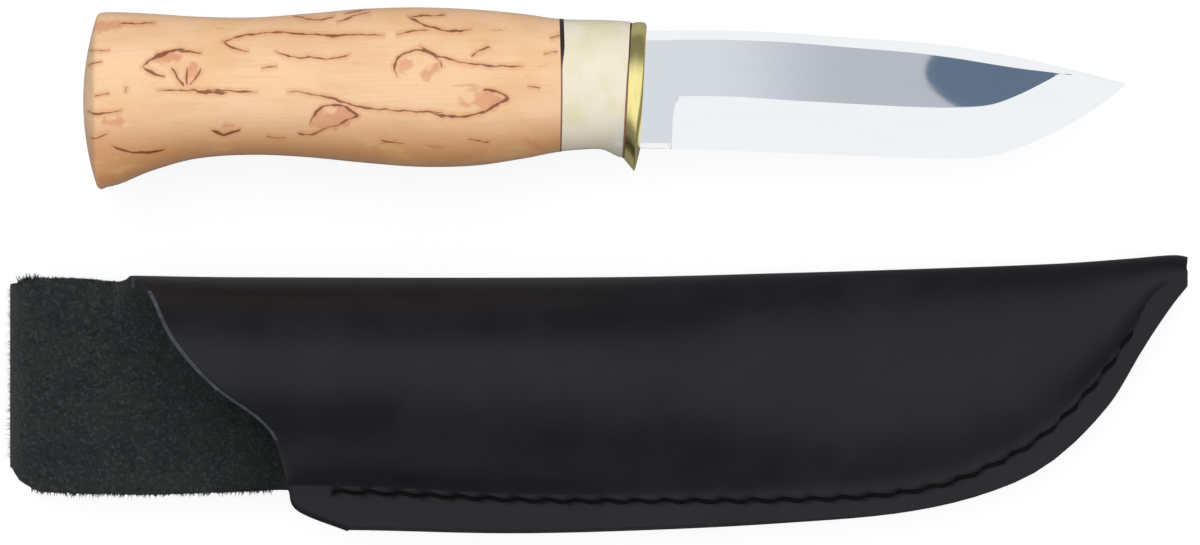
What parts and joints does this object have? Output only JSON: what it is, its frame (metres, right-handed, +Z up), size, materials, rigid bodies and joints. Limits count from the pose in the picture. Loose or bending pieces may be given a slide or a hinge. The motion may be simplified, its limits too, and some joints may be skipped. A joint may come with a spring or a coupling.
{
  "type": "whittling knife",
  "caption": "Scandinavian whittling knife with a birch and antler grip, brass guard and bare steel blade, lying beside its folded black leather belt sheath.",
  "frame": {"origin": "centre of the space that the knife and the sheath cover together, on the table under them", "axes": "+X towards the knife's point and the sheath's tip, +Y from the sheath towards the knife, +Z up from the table"},
  "size_m": [0.224, 0.1, 0.0324],
  "materials": {
    "steel": "polished stainless steel, satin bevel",
    "brass": "polished",
    "fibre": "black vulcanised fibre",
    "antler": "polished reindeer antler, cream with grey-green marbling",
    "birch": "curly birch, oiled and polished, brown figure",
    "glue": "cured clear epoxy",
    "leather": "black smooth grain outside, black suede flesh side inside",
    "thread": "black waxed thread"
  },
  "bodies": {
    "sheath": {"sheath_leather": "leather", "sheath_welt": "leather", "seam_thread_front": "thread", "seam_thread_back": "thread", "loop_thread": "thread"},
    "knife": {"blade": "steel", "guard": "brass", "guard_liner": "fibre", "antler_collar": "antler", "fibre_spacer": "fibre", "birch_grip": "birch", "tang_glue": "glue"}
  },
  "joints": [
    {"name": "knife_lift", "type": "slide", "parent": "sheath", "child": "knife", "axis": [0, 0, 1], "range_m": [0, 0.12]}
  ]
}
